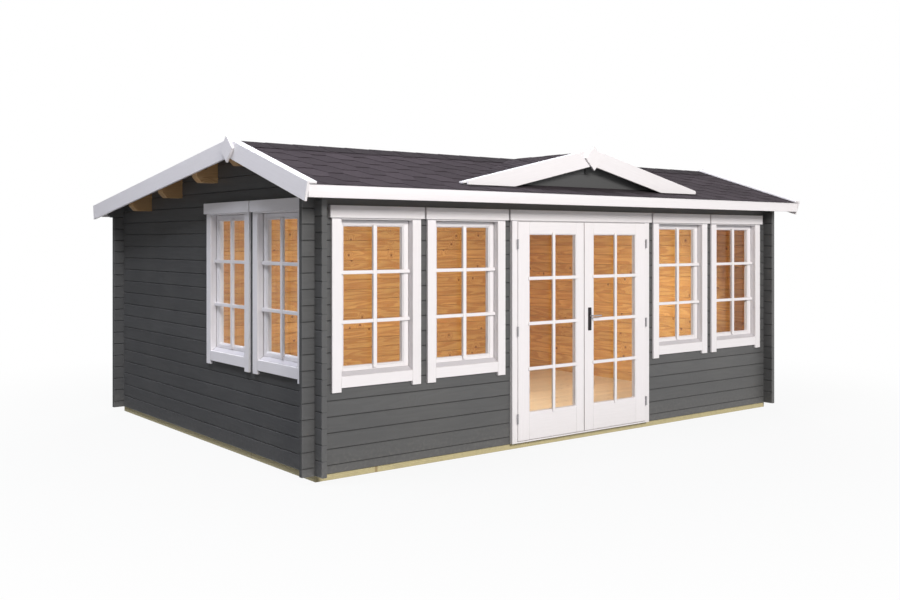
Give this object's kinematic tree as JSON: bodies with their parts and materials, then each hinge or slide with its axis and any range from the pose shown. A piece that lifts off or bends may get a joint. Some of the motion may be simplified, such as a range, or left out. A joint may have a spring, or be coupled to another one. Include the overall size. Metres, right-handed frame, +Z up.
{
  "type": "log cabin",
  "caption": "Log cabin with crossed corner logs, a low pitched roof with a false gable over a glazed double door, and barred casement windows in the front and one end.",
  "frame": {"origin": "on the ground at the middle of the cabin's plan", "axes": "+X to the right along the front, +Y from the front to the back, +Z up; the door is in the -Y side"},
  "size_m": [5.75, 4.316, 2.506],
  "materials": {
    "painted_logs": "satin grey paint with the grain showing",
    "white_trim": "white paint",
    "roof_timber": "bare planed softwood",
    "floor_boards": "bare planed softwood",
    "treated_timber": "sawn and pressure treated",
    "shingles": "mineral faced felt shingles",
    "glass": "clear",
    "hinge_metal": "dull",
    "handle_metal": "satin"
  },
  "bodies": {
    "shell": {"base_beams": "treated_timber", "floor_joists": "treated_timber", "floor_boards": "floor_boards", "front_wall_lower": "painted_logs", "front_wall_piers": "painted_logs", "front_wall_upper": "painted_logs", "back_wall": "painted_logs", "left_wall_lower": "painted_logs", "left_wall_piers": "painted_logs", "right_wall": "painted_logs", "gables": "painted_logs", "purlins": "roof_timber", "roof_deck": "roof_timber", "roof_shingles": "shingles", "ridge_cap": "shingles", "bargeboards": "white_trim", "verge_strips": "white_trim", "fascias": "white_trim", "dormer_deck": "roof_timber", "dormer_shingles": "shingles", "dormer_bargeboards": "white_trim", "dormer_verge_strips": "white_trim", "dormer_infill": "painted_logs", "finials": "white_trim", "window_frame_posts": "white_trim", "window_frame_rails": "white_trim", "window_casings": "white_trim", "window_rails": "white_trim", "window_sashes": "white_trim", "window_glass": "glass", "head_boards": "white_trim", "door_frame_posts": "white_trim", "door_frame_rails": "white_trim", "hinge_pins": "hinge_metal"},
    "leaf_left": {"door_leaf_left": "white_trim", "door_glass_left": "glass", "hinge_sleeves_left": "hinge_metal"},
    "leaf_right": {"door_leaf_right": "white_trim", "door_glass_right": "glass", "hinge_sleeves_right": "hinge_metal", "handle_plates": "handle_metal"},
    "lever": {"door_lever": "handle_metal"}
  },
  "joints": [
    {"name": "left_leaf_hinge", "type": "hinge", "parent": "shell", "child": "leaf_left", "pos_m": [-0.7785, -1.936, 0.963], "axis": [0, 0, -1], "range_deg": [0, 100]},
    {"name": "right_leaf_hinge", "type": "hinge", "parent": "shell", "child": "leaf_right", "pos_m": [0.7785, -1.936, 0.963], "axis": [0, 0, 1], "range_deg": [0, 100]},
    {"name": "lever_turn", "type": "hinge", "parent": "leaf_right", "child": "lever", "pos_m": [0.0545, -1.906, 1.055], "axis": [0, 1, 0], "range_deg": [0, 40], "stiffness_Nm_per_rad": 2, "springref_deg": -28.65}
  ]
}
